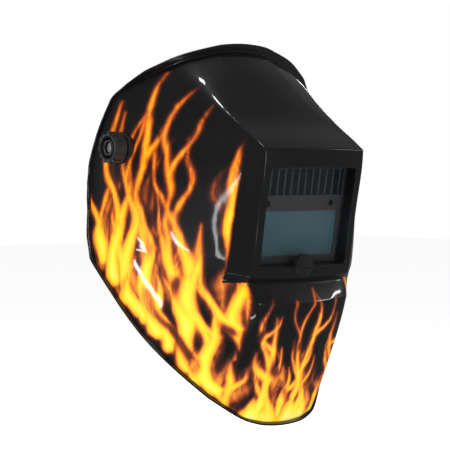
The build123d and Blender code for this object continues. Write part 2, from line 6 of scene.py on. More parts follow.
import bmesh
import bpy
import numpy as np
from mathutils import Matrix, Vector


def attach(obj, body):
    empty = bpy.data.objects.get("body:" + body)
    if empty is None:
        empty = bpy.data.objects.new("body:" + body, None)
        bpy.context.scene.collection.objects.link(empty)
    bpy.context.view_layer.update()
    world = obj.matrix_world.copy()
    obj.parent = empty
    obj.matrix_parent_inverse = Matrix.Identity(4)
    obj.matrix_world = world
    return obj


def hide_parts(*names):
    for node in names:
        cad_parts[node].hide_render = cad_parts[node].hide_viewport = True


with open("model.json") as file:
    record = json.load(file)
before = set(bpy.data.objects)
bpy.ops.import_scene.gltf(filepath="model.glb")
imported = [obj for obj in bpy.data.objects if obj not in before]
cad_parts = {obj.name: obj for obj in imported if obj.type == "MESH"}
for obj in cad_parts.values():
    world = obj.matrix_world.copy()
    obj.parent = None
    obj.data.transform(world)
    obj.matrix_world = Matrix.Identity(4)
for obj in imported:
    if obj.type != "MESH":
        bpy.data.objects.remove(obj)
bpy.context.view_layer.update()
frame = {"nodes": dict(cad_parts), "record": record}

MM = 0.001

# ---------------------------------------------------------------- camera, lights and floor
AZIMUTH, ELEVATION, DISTANCE = -41.0, 2.0, 1.5
TARGET = Vector((0.0, -0.0045, -0.0704))
LENS = 129.6
FLOOR_Z, FLOOR_HALF = -0.42, 6.0
LAMP_AIM = Vector((0, 0, -0.08))
SOFT_DISTANCE, STRIP_DISTANCE, SOFT_SIZE = 1.7, 1.5, (0.9, 0.9)
ROOM_LIGHT = 0.10               # how strongly the room around lights the helmet
# azimuth, elevation and watts of the broad lamps, which the gloss doesn't mirror
SOFT_LAMPS = [("key", -72, 34, 17), ("fill", -8, 12, 8), ("low", -60, -28, 4), ("back", 140, 40, 12),
              ("right", 80, 20, 5)]
# azimuth, elevation, width, height, roll and radiance of the narrow lamps that draw the highlights
STRIPS = [(-88, -9, 0.03, 0.20, 62, 20), (-107, -15, 0.035, 0.46, 52, 20), (-73.5, -5, 0.025, 0.22, 0, 9),
          (5, -7, 0.03, 0.45, 0, 26), (40, 85, 0.07, 0.07, 0, 24), (60, 25, 0.02, 0.30, 60, 22),
          (-36, 30, 0.30, 0.03, 0, 22), (-150, 20, 0.05, 0.90, 0, 22), (128, 15, 0.04, 0.60, 0, 8),
          (-40, -32, 0.50, 0.015, 0, 14), (-130, 50, 0.05, 0.5, 0, 14)]


def look_from(azimuth, elevation):
    """The direction from the object to an eye at this azimuth and elevation."""
    a, e = math.radians(azimuth), math.radians(elevation)
    return Vector((math.sin(a) * math.cos(e), -math.cos(a) * math.cos(e), math.sin(e)))


def add_camera():
    """The camera at the viewing angle."""
    data = bpy.data.cameras.new("camera")
    data.lens = LENS
    data.clip_start, data.clip_end = 0.05, 20.0
    camera = bpy.data.objects.new("camera", data)
    out = look_from(AZIMUTH, ELEVATION)
    camera.location = TARGET + out * DISTANCE
    camera.rotation_euler = out.to_track_quat("Z", "Y").to_euler()
    bpy.context.collection.objects.link(camera)
    bpy.context.scene.camera = camera


def area_light(name, azimuth, elevation, distance, size, watts):
    """A rectangular lamp that faces the helmet."""
    data = bpy.data.lights.new(name, "AREA")
    data.shape = "RECTANGLE"
    data.size, data.size_y = size
    data.energy = watts
    lamp = bpy.data.objects.new(name, data)
    out = look_from(azimuth, elevation)
    lamp.location = LAMP_AIM + out * distance
    lamp.rotation_euler = out.to_track_quat("Z", "Y").to_euler()
    bpy.context.collection.objects.link(lamp)
    return lamp


def add_stage():
    """A white backdrop that the gloss mirrors dimly, a pale floor and the lamps."""
    world = bpy.data.worlds.new("studio")
    world.use_nodes = True
    nodes, links = world.node_tree.nodes, world.node_tree.links
    background = nodes["Background"]
    background.inputs["Color"].default_value = (1.0, 1.0, 1.0, 1)
    background.inputs["Strength"].default_value = 1.0
    dim = nodes.new("ShaderNodeBackground")
    dim.inputs["Color"].default_value = (1.0, 1.0, 1.0, 1)
    dim.inputs["Strength"].default_value = ROOM_LIGHT
    path = nodes.new("ShaderNodeLightPath")
    choice = nodes.new("ShaderNodeMixShader")
    links.new(path.outputs["Is Camera Ray"], choice.inputs["Fac"])
    links.new(dim.outputs["Background"], choice.inputs[1])
    links.new(background.outputs["Background"], choice.inputs[2])
    links.new(choice.outputs["Shader"], nodes["World Output"].inputs["Surface"])
    bpy.context.scene.world = world
    mesh = bpy.data.meshes.new("floor")
    corners = [(x * FLOOR_HALF, y * FLOOR_HALF, FLOOR_Z) for x, y in ((-1, -1), (1, -1), (1, 1), (-1, 1))]
    mesh.from_pydata(corners, [], [(0, 1, 2, 3)])
    floor = bpy.data.objects.new("floor", mesh)
    bpy.context.collection.objects.link(floor)
    material = bpy.data.materials.new("floor_white")
    material.use_nodes = True
    shader = material.node_tree.nodes["Principled BSDF"]
    shader.inputs["Base Color"].default_value = (0.92, 0.92, 0.92, 1)
    shader.inputs["Roughness"].default_value = 0.9
    shader.inputs["Emission Color"].default_value = (1, 1, 1, 1)
    shader.inputs["Emission Strength"].default_value = 0.86
    mesh.materials.append(material)
    floor.visible_glossy = False
    for name, azimuth, elevation, watts in SOFT_LAMPS:
        lamp = area_light(name, azimuth, elevation, SOFT_DISTANCE, SOFT_SIZE, watts)
        lamp.visible_glossy = False
    for number, (azimuth, elevation, wide, high, roll, radiance) in enumerate(STRIPS):
        watts = radiance * math.pi * wide * high
        lamp = area_light("strip_%d" % number, azimuth, elevation, STRIP_DISTANCE, (wide, high), watts)
        lamp.rotation_euler.rotate_axis("Z", math.radians(roll))


# ---------------------------------------------------------------- shell stations
# Half sections in planes that fan out from a line along X: angle above the horizon, radius at the
# middle, then (x, radius) at the forehead panel's edge, front corner, side corner, cheek, jaw and rear.
FAN_Y, FAN_Z = 90.0, -40.0
STATIONS = [
    (-49.7, 267.0, (24.0, 264.5), (40.6, 258.5), (65.0, 232.5), (90.0, 192.5), (107.0, 148.0), (118.0, 77.0)),
    (-38.0, 241.0, (27.0, 239.5), (48.0, 235.5), (73.0, 211.0), (96.0, 170.0), (112.0, 122.0), (121.0, 63.0)),
    (-25.2, 226.5, (30.0, 225.0), (53.8, 220.5), (77.5, 194.0), (99.5, 153.0), (113.5, 109.0), (121.5, 56.0)),
    (-22.0, 209.5, (50.0, 206.9), (58.0, 205.5), (76.5, 194.5), (99.5, 152.0), (113.8, 108.0), (121.5, 55.0)),
    (-20.2, 212.0, (50.0, 209.9), (58.7, 208.6), (76.0, 195.0), (99.5, 151.5), (114.0, 107.5), (121.5, 54.5)),
    (-5.0, 209.4, (50.0, 207.4), (58.9, 206.1), (73.0, 192.0), (98.0, 150.5), (114.3, 107.0), (121.5, 51.0)),
    (10.1, 222.6, (54.0, 219.4), (59.0, 218.4), (70.0, 202.6), (96.5, 152.0), (114.3, 108.0), (121.5, 52.0)),
    (18.3, 195.0, (48.4, 192.8), (59.7, 192.4), (77.0, 173.5), (98.5, 143.0), (114.5, 107.0), (121.5, 55.5)),
    (28.0, 184.0, (37.4, 180.8), (62.0, 174.5), (86.0, 155.0), (102.0, 132.0), (115.5, 104.0), (121.5, 62.0)),
    (38.0, 178.5, (31.0, 175.5), (63.0, 166.0), (90.0, 146.0), (106.0, 124.0), (116.5, 101.0), (121.0, 80.0)),
    (43.0, 176.5, (29.5, 173.5), (63.0, 163.0), (91.5, 143.0), (106.5, 125.0), (115.5, 108.0), (119.0, 96.0)),
    (47.0, 175.0, (28.0, 172.5), (63.0, 161.0), (93.0, 141.0), (105.0, 129.0), (111.5, 121.0), (115.5, 113.0)),
]
BROW = 10.1
SHARP_ROWS = (-25.2, -22.0, -20.2, BROW)
CHIN_CREASE = -47.6
SILL, LINTEL = -17.7, 5.87      # the fan angles of the window's lower and upper edges
ROWS = [-49.7, -48.8, CHIN_CREASE, -45.5, -42.5, -39.5, -36.5, -33.5, -30.5, -27.8, -25.2, -23.6, -22.0, -20.2,
        -18.9, SILL, -16.6, -12.5, -8.7, -5.0, -1.4, 2.2, 4.8, LINTEL, 7.6, 10.1, 12.8, 15.5, 18.3, 21.5, 24.7,
        28.0, 31.3, 34.6, 38.0, 41.0, 43.6, 46.0, 47.0]
WALL = 2.6

# The window, in the front face's own plane
FACE_TILT, FACE_Y, FACE_Z = 9.7, -115.6, -60.5
WINDOW = (51.0, 43.0)
TUNNEL_DEPTH, INNER_LIP, INNER_GROW = -9.6, -3.4, 2.3


def fan_point(x, radius, angle):
    """A point of a fan plane, in metres."""
    turn = math.radians(angle)
    return Vector((x, FAN_Y - radius * math.cos(turn), FAN_Z + radius * math.sin(turn))) * MM


def face_point(u, v, depth):
    """A point given by its place on the front face and its depth behind it."""
    tilt = math.radians(FACE_TILT)
    out = Vector((0, -math.cos(tilt), -math.sin(tilt)))
    up = Vector((0, -math.sin(tilt), math.cos(tilt)))
    return (Vector((u, FACE_Y, FACE_Z)) + out * depth + up * v) * MM


def hermite(keys, values, at):
    """Smooth interpolation through (key, value) pairs."""
    i = min(max(np.searchsorted(keys, at) - 1, 0), len(keys) - 2)

    def slope(k):
        if 0 < k < len(keys) - 1:
            return (values[k + 1] - values[k - 1]) / (keys[k + 1] - keys[k - 1])
        j = min(max(k, 1), len(keys) - 1)
        return (values[j] - values[j - 1]) / (keys[j] - keys[j - 1])

    span = keys[i + 1] - keys[i]
    t = (at - keys[i]) / span
    a = values[i] * (2 * t ** 3 - 3 * t ** 2 + 1) + slope(i) * span * (t ** 3 - 2 * t ** 2 + t)
    return a + values[i + 1] * (3 * t ** 2 - 2 * t ** 3) + slope(i + 1) * span * (t ** 3 - t ** 2)


def station_at(angle):
    """The seven half-section points at any fan angle: smooth between the sharp rows."""
    stops = [STATIONS[0][0], *SHARP_ROWS, STATIONS[-1][0]]
    low = max([s for s in stops[:-1] if s <= angle + 1e-6])
    high = stops[stops.index(low) + 1]
    inside = [s for s in STATIONS if low <= s[0] <= high]
    keys = [s[0] for s in inside]
    points = []
    for column in range(7):
        pairs = [((0.0, s[1]), *s[2:])[column] for s in inside]
        points.append(tuple(hermite(keys, [p[axis] for p in pairs], angle) for axis in (0, 1)))
    return points


def mix(a, b, share):
    """A point between two points."""
    return tuple(p + (q - p) * share for p, q in zip(a, b))


def curve_mid(before, a, b, after, share=0.5):
    """A point of the smooth curve from a to b."""
    t = share
    return tuple(0.5 * (2 * q + (r - p) * t + (2 * p - 5 * q + 4 * r - s) * t * t
                        + (3 * q - p - 3 * r + s) * t ** 3)
                 for p, q, r, s in zip(before, a, b, after))


SLIVER_TOP, SLIVER_BOTTOM = 3.0, -18.5      # fan angles between which the flat beside the housing widens


def half_row(angle):
    """Eighteen (x, radius) points from the middle to the rear edge."""
    crown, panel, front, side, cheek, jaw, rear = station_at(angle)
    if SILL - 2.6 < angle < BROW + 0.1:
        share = WINDOW[0] / front[0]
        panel = (WINDOW[0], crown[1] + (front[1] - crown[1]) * share ** 2)
    shares = (0, 0.25, 0.5, 0.75, 0.92, 1)
    middle = [(panel[0] * t, crown[1] + (panel[1] - crown[1]) * t ** 2) for t in shares]
    before = (side[0] - 8, side[1] + 9)
    after = (2 * rear[0] - jaw[0], 2 * rear[1] - jaw[1])
    reach = 0.08
    if SLIVER_BOTTOM <= angle <= SLIVER_TOP:
        reach += 0.28 * (SLIVER_TOP - angle) / (SLIVER_TOP - SLIVER_BOTTOM)
    flank = [side, *(curve_mid(before, side, cheek, jaw, t) for t in (reach, 0.55)), cheek]
    flank += [curve_mid(side, cheek, jaw, rear, t) for t in (1 / 3, 2 / 3)] + [jaw]
    flank += [curve_mid(cheek, jaw, rear, after, t) for t in (1 / 3, 2 / 3)] + [rear]
    return middle + [front, mix(front, side, 0.5)] + flank


LAST = 17                       # index of the rear edge in a half row
PANEL, FRONT, SIDE, SLIVER = 5, 6, 8, 9


def shell_grid():
    """Rows of points across the whole shell, from the right rear edge to the left."""
    grid = []
    for angle in ROWS:
        half = half_row(angle)
        right = [fan_point(-x, r, angle) for x, r in reversed(half[1:])]
        grid.append(right + [fan_point(x, r, angle) for x, r in half])
    return grid


def grid_normals(grid):
    """Outward normals at the grid's points."""
    normals = []
    for i, row in enumerate(grid):
        line = []
        for j, point in enumerate(row):
            up = grid[min(i + 1, len(grid) - 1)][j] - grid[max(i - 1, 0)][j]
            across = row[min(j + 1, len(row) - 1)] - row[max(j - 1, 0)]
            line.append(across.cross(up).normalized())
        normals.append(line)
    return normals


def in_window(i, j):
    """True for the cells of the grid inside the window."""
    sill, lintel = ROWS.index(SILL), ROWS.index(LINTEL)
    return sill <= i < lintel and LAST - PANEL <= j < LAST + PANEL


HOUSING_FOLD, LEDGE_FOLD = 0.66, 0.62        # how sharp the housing's and the ledges' folds are, 0 to 1


def column_crease(k, angle):
    """How sharp the fold is along column k of the shell at a fan angle."""
    on_face = -20.3 <= angle <= 10.2
    if k == FRONT:
        if on_face:
            return HOUSING_FOLD
        return max(0.0, 0.62 - 0.022 * (angle - 10)) if angle > 0 else 0.42
    if k == SIDE:
        if on_face:
            return HOUSING_FOLD
        return max(0.0, HOUSING_FOLD - 0.03 * (angle - 10)) if angle > 0 else 0.2
    if k == SLIVER and SLIVER_BOTTOM <= angle <= SLIVER_TOP:
        return 0.55
    if k == PANEL:
        return 0.5 if angle > 11 else 0.0
    return 0.0


def row_crease(angle, k):
    """How sharp the fold is along a row, by column."""
    if angle in SHARP_ROWS:
        sharp = HOUSING_FOLD if angle == BROW else LEDGE_FOLD
        return sharp if k <= SIDE else max(0.0, 0.3 - 0.1 * (k - SIDE))
    if angle == CHIN_CREASE:
        return 0.5 if k <= SIDE + 1 else 0.0
    return 0.0


def border_loop():
    """Grid places round the shell's edge: chin, left side, forehead, right side."""
    rows, columns = len(ROWS), 2 * LAST + 1
    loop = [(0, j) for j in range(columns)]
    loop += [(i, columns - 1) for i in range(1, rows)]
    loop += [(rows - 1, j) for j in range(columns - 2, -1, -1)]
    loop += [(i, 0) for i in range(rows - 2, 0, -1)]
    return loop


def window_loop():
    """Grid places round the window."""
    sill, lintel = ROWS.index(SILL), ROWS.index(LINTEL)
    low, high = LAST - PANEL, LAST + PANEL
    loop = [(sill, j) for j in range(low, high + 1)]
    loop += [(i, high) for i in range(sill + 1, lintel + 1)]
    loop += [(lintel, j) for j in range(high - 1, low - 1, -1)]
    loop += [(i, low) for i in range(lintel - 1, sill, -1)]
    return loop


BROW_LIP, BROW_LIP_DROP, CHIN_LIP, SIDE_LIP = 8.0, 4.5, 3.6, 3.4     # heights of the rim, in mm


def lip_height(i, j):
    """How far the rim stands out at a place on the border."""
    k = abs(j - LAST)
    if i == len(ROWS) - 1:
        return BROW_LIP - BROW_LIP_DROP * (k / LAST) ** 2
    return CHIN_LIP if i == 0 else SIDE_LIP


# the rim's section: how far out from the skin, as a share of its height, and how far past the edge, in mm
RIM_PROFILE = ((-0.3, -0.5), (0.12, 0.1), (0.55, 0.35), (0.93, 0.7), (1.0, 1.5), (0.9, 2.3), (0.4, 2.5),
               (-0.4, 2.3), (-1.05, 1.2), (-1.0, -1.5))


class Builder:
    """Collects a mesh's vertices, faces and creases."""

    def __init__(self):
        self.bm = bmesh.new()
        self.crease = self.bm.edges.layers.float.new("crease_edge")

    def vert(self, point):
        """A new vertex."""
        return self.bm.verts.new(point)

    def face(self, *verts):
        """A new face."""
        return self.bm.faces.new(verts)

    def fold(self, a, b, value):
        """Creases the edge between two vertices, where there is one."""
        edge = self.bm.edges.get((a, b))
        if edge is not None:
            edge[self.crease] = value

    def strip(self, first, second):
        """Faces between two closed rings of vertices."""
        for k in range(len(first)):
            n = (k + 1) % len(first)
            self.face(first[k], first[n], second[n], second[k])

    def fold_loop(self, verts, value):
        """Creases the edges of a closed loop."""
        for k in range(len(verts)):
            self.fold(verts[k], verts[(k + 1) % len(verts)], value)

    def done(self, name, levels=0):
        """The finished object, smooth shaded, with its subdivision applied."""
        bmesh.ops.recalc_face_normals(self.bm, faces=self.bm.faces)
        mesh = bpy.data.meshes.new(name)
        self.bm.to_mesh(mesh)
        self.bm.free()
        piece = bpy.data.objects.new(name, mesh)
        bpy.context.collection.objects.link(piece)
        if levels:
            smooth = piece.modifiers.new("smooth", "SUBSURF")
            smooth.levels = smooth.render_levels = levels
            apply_modifiers(piece)
        piece.data.shade_smooth()
        return piece


def apply_modifiers(piece):
    """Turns a piece's modifiers into its mesh."""
    graph = bpy.context.evaluated_depsgraph_get()
    mesh = bpy.data.meshes.new_from_object(piece.evaluated_get(graph))
    piece.modifiers.clear()
    piece.data = mesh


def shell_outer():
    """The painted outside of the shell with the window's tunnel."""
    grid = shell_grid()
    build = Builder()
    verts = [[build.vert(p) for p in row] for row in grid]
    rows, columns = len(grid), len(grid[0])
    for i in range(rows - 1):
        for j in range(columns - 1):
            if not in_window(i, j):
                build.face(verts[i][j], verts[i][j + 1], verts[i + 1][j + 1], verts[i + 1][j])
    for i, angle in enumerate(ROWS):
        for j in range(columns):
            k = abs(j - LAST)
            if j + 1 < columns:
                build.fold(verts[i][j], verts[i][j + 1], row_crease(angle, max(k, abs(j + 1 - LAST))))
            if i + 1 < rows:
                build.fold(verts[i][j], verts[i + 1][j], column_crease(k, 0.5 * (angle + ROWS[i + 1])))
    # window tunnel
    loop = window_loop()
    mouth = [verts[i][j] for i, j in loop]
    rings = []
    for depth, grow in ((-2.5, 0.0), (TUNNEL_DEPTH + 0.4, 0.0), (TUNNEL_DEPTH, 0.6), (TUNNEL_DEPTH, 2.2)):
        rings.append([build.vert(tunnel_point(grid[i][j], depth, grow)) for i, j in loop])
    previous = mouth
    for ring in rings:
        build.strip(previous, ring)
        previous = ring
    build.fold_loop(mouth, 0.62)
    return build.done("shell_outer", 3)


def shell_rim():
    """The raised rim all round the shell's edge."""
    grid = shell_grid()
    normals = grid_normals(grid)
    build = Builder()
    border = border_loop()
    profile = []
    for out, back in RIM_PROFILE:
        ring = []
        for n, (i, j) in enumerate(border):
            before, after = border[n - 1], border[(n + 1) % len(border)]
            along = grid[after[0]][after[1]] - grid[before[0]][before[1]]
            normal = normals[i][j]
            away = along.cross(normal).normalized()
            height = lip_height(i, j) if out > 0 else WALL
            ring.append(build.vert(grid[i][j] + normal * (height * out * MM) + away * (back * MM)))
        profile.append(ring)
    for first, second in zip(profile, profile[1:]):
        build.strip(first, second)
    build.fold_loop(profile[1], 0.5)
    return build.done("shell_rim", 2)


def tunnel_point(point, depth, grow):
    """The window's edge point moved back to a depth, and outwards by grow."""
    tilt = math.radians(FACE_TILT)
    up = Vector((0, -math.sin(tilt), math.cos(tilt)))
    rel = point / MM - Vector((0, FACE_Y, FACE_Z))
    u, v = rel.x, rel.dot(up)
    stretch_u = (WINDOW[0] + grow) / WINDOW[0]
    stretch_v = (WINDOW[1] + grow) / WINDOW[1]
    return face_point(u * stretch_u, v * stretch_v, depth)


def shell_inner():
    """The unpainted inside of the shell."""
    grid = shell_grid()
    normals = grid_normals(grid)
    build = Builder()
    verts = []
    for i, row in enumerate(grid):
        verts.append([build.vert(p - normals[i][j] * (WALL * MM)) for j, p in enumerate(row)])
    for n, (i, j) in enumerate(window_loop()):
        verts[i][j].co = tunnel_point(grid[i][j], INNER_LIP, INNER_GROW)
    for i in range(len(grid) - 1):
        for j in range(len(grid[0]) - 1):
            if not in_window(i, j):
                build.face(verts[i][j], verts[i + 1][j], verts[i + 1][j + 1], verts[i][j + 1])
    loop = window_loop()
    mouth = [verts[i][j] for i, j in loop]
    back = [build.vert(tunnel_point(grid[i][j], TUNNEL_DEPTH, INNER_GROW)) for i, j in loop]
    build.strip(mouth, back)
    return build.done("shell_inner", 2)


# ---------------------------------------------------------------- flame pattern
# Flames rise from the shell's lower edge. A tongue is a list of (across, height, half width) points in
# millimetres. On the sides "across" runs along Y, on the front below the window it runs along X.
TONGUE_POINTS = 6
WAVE_LONG = 95.0                # height of one sideways swing of a tongue
SIDE_SPAN, SIDE_TOP = (30.0, -104.0), 66.0
SIDE_EDGE_HIGH, SIDE_EDGE_SLOPE = -132.0, 1.22
FRONT_SPAN, FRONT_TOP, FRONT_LOW = (-58.0, 58.0), -124.0, -238.0
SLIMMING = 0.84                 # trims every tongue's width


def side_edge(across):
    """Height of the shell's lower edge on its sides, which falls towards the chin."""
    return SIDE_EDGE_HIGH + SIDE_EDGE_SLOPE * across


def front_edge(across):
    """Height of the shell's lower edge at the chin."""
    return FRONT_LOW


def rising_tongue(base, tall, wide, lean, sway, phase):
    """One swaying flame from its base to its tip."""
    points = []
    for n in range(TONGUE_POINTS + 1):
        t = n / TONGUE_POINTS
        swing = sway * (math.sin(phase + 2 * math.pi * tall * t / WAVE_LONG) - math.sin(phase))
        width = wide * (1 - t) ** 0.7 * (1 + 0.25 * math.sin(phase + 8.0 * t))
        points.append((base[0] + lean * t + swing, base[1] + tall * t, width))
    return points


def side_lick(root, out, tall):
    """A small flame that leaves a larger one at the point root."""
    across, height, width = root
    return [root, (across + out, height + 0.45 * tall, 0.6 * width), (across + 1.2 * out, height + tall, 0)]


def flame_bed(seed, count, span, edge, top, wide, sway):
    """A row of flames along an edge, every other one tall, the tall ones with licks."""
    rng = np.random.default_rng(seed)
    bed = []
    for n in range(count):
        across = span[0] + (span[1] - span[0]) * (n + 0.5 + rng.uniform(-0.3, 0.3)) / count
        low = edge(across)
        share = rng.uniform(0.78, 1.0) if n % 2 else rng.uniform(0.25, 0.55)
        thick, lean = wide * rng.uniform(0.8, 1.2), rng.uniform(-14, 14)
        tongue = rising_tongue((across, low), (top - low) * share, thick, lean, sway * rng.uniform(0.7, 1.3),
                               rng.uniform(0, 2 * math.pi))
        bed.append(tongue)
        for place in (2, 4) if n % 2 else (3,):
            out = rng.choice((-1, 1)) * rng.uniform(8, 15)
            bed.append(side_lick(tongue[place], out, rng.uniform(0.16, 0.3) * (top - low)))
    return bed


SIDE_TONGUES = flame_bed(11, 13, SIDE_SPAN, side_edge, SIDE_TOP, 9.5, 8.0)
FRONT_TONGUES = flame_bed(5, 11, FRONT_SPAN, front_edge, FRONT_TOP, 6.0, 5.0)
# wide, dull flames behind the bright ones
EMBERS = flame_bed(3, 7, SIDE_SPAN, side_edge, 20.0, 13.0, 10.0)
FRONT_EMBERS = flame_bed(8, 5, FRONT_SPAN, front_edge, -146.0, 12.0, 6.0)


def smooth_path(points, steps=5):
    """Points of a smooth curve through a tongue's control points."""
    padded = [points[0], *points, points[-1]]
    path = []
    for a, b, c, d in zip(padded, padded[1:], padded[2:], padded[3:]):
        path += [curve_mid(a, b, c, d, n / steps) for n in range(steps)]
    return np.array(path + [points[-1]], dtype=float)


def tongue_depth(points, at, best, blend=1.6):
    """Depth inside a tongue at each place, in mm, joined smoothly to what the other tongues gave."""
    path = smooth_path(points)
    depth = np.full(len(at), -60.0)
    for a, b in zip(path, path[1:]):
        step = b[:2] - a[:2]
        share = ((at - a[:2]) @ step / max(step @ step, 1e-6)).clip(0, 1)
        gap = np.linalg.norm(at - (a[:2] + share[:, None] * step), axis=1)
        width = (a[2] + (b[2] - a[2]) * share) * SLIMMING
        depth = np.maximum(depth, width - gap)
    h = (0.5 + 0.5 * (depth - best) / blend).clip(0, 1)
    return best + (depth - best) * h + blend * h * (1 - h)


def smoothstep(low, high, value):
    """0 below low, 1 above high, with a smooth rise between."""
    t = ((value - low) / (high - low)).clip(0, 1)
    return t * t * (3 - 2 * t)


def warped(at, size):
    """Places nudged by a fixed wavy field, so the tongues' edges lick about."""
    a, b = at[:, 0], at[:, 1]
    da = 2.2 * np.sin(b / 15.0 + 0.6 * np.sin(a / 23.0)) + 1.0 * np.sin(b / 6.1 + a / 9.0 + 1.0)
    db = 1.8 * np.sin(a / 13.0 + b / 31.0) + 0.8 * np.sin(a / 5.2 + 2.0)
    calm = 1.0 - 0.7 * smoothstep(-20.0, 40.0, b)
    return at + np.stack([da * calm, db * calm], axis=1) * size


def core_limit(at):
    """The most depth allowed at each place: where it is low the core stays orange, in curling pockets."""
    a, b = at[:, 0], at[:, 1]
    curl = np.sin(a / 8.0 + 1.9 * np.sin(b / 17.0)) * np.sin(b / 19.0 + 1.4 * np.sin(a / 13.0) + 0.7)
    low = smoothstep(30.0, 120.0, -b)
    return 7.6 + 8.6 * curl * (0.3 + 0.7 * low)


def flame_field(at, tongues):
    """Depth in mm inside the bright tongues."""
    at = warped(at, 1.0)
    depth = np.full(len(at), -60.0)
    for tongue in tongues:
        depth = tongue_depth(tongue, at, depth)
    return np.minimum(depth, core_limit(at))


def ember_field(at, strokes):
    """The dull glow behind the tongues, from 0 to 1."""
    at = warped(at, 1.8)
    depth = np.full(len(at), -60.0)
    for stroke in strokes:
        depth = tongue_depth(stroke, at, depth, 4.0)
    return smoothstep(-4.0, 9.0, depth)


FOREHEAD_TAPER = 9.0            # how much the side tongues thin out on their way to the forehead, mm
FOREHEAD_TAPER_X = (44.0, 74.0)
HOUSING_LOW, HOUSING_HIGH = -116.0, -3.0
HOUSING_CORNER = ([-107.0, -56.7, -4.5], [76.5, 73.5, 70.5])     # heights and half widths of its side edge
CHIN_LINE = -227.0              # below this height the chin is all flame


def positions(mesh):
    """A mesh's vertex positions in one flat array."""
    places = np.empty(len(mesh.vertices) * 3)
    mesh.vertices.foreach_get("co", places)
    return places


def paint_flames(piece):
    """Stores the flame depth and the ember glow on a piece's vertices."""
    mesh = piece.data
    places = positions(mesh)
    x, y, z = (places.reshape(-1, 3) / MM).T
    across = np.abs(x)
    side_at, front_at = np.stack([y, z], axis=1), np.stack([x, z], axis=1)
    side = flame_field(side_at, SIDE_TONGUES)
    front = flame_field(front_at, FRONT_TONGUES)
    chin = (CHIN_LINE - z) * 0.5 + 2.5 * np.sin(x / 7.0) + 2.0 * np.sin(x / 3.1 + 1.0)
    front = np.maximum(front, np.minimum(chin, 9.0))
    corner = np.interp(z, *HOUSING_CORNER)
    forehead = z > HOUSING_HIGH
    housing = (z > HOUSING_LOW) & (z < HOUSING_HIGH)
    side_from = np.where(housing, corner, np.where(forehead, 42.0, 58.0))
    side_gate = (across - side_from) * np.where(housing, 3.0, np.where(forehead, 0.8, 1.2))
    front_gate = np.minimum(66.0 - across, (-117.5 - z) * 1.5)
    side -= FOREHEAD_TAPER * (1.0 - smoothstep(*FOREHEAD_TAPER_X, across)) * forehead
    flame = np.maximum(np.minimum(side, side_gate), np.minimum(front, front_gate))
    glow = np.where(across > side_from, ember_field(side_at, EMBERS), 0.0)
    glow = np.maximum(glow, np.where(z < -119.0, ember_field(front_at, FRONT_EMBERS), 0.0) * (across < 60))
    lower = smoothstep(40.0, 190.0, -z)
    heat = np.where(flame > 0, flame * (0.75 + 0.45 * lower), flame)
    for name, values in (("tongue_depth", heat.clip(-20, 20)), ("ember_glow", glow)):
        layer = mesh.attributes.new(name, "FLOAT", "POINT")
        layer.data.foreach_set("value", values.astype(np.float32))


def ramp(nodes, stops):
    """A colour ramp node with the given (place, colour) stops."""
    node = nodes.new("ShaderNodeValToRGB")
    elements = node.color_ramp.elements
    for n, (place, colour) in enumerate(stops):
        element = elements[n] if n < 2 else elements.new(place)
        element.position = place
        element.color = (*colour, 1)
    return node


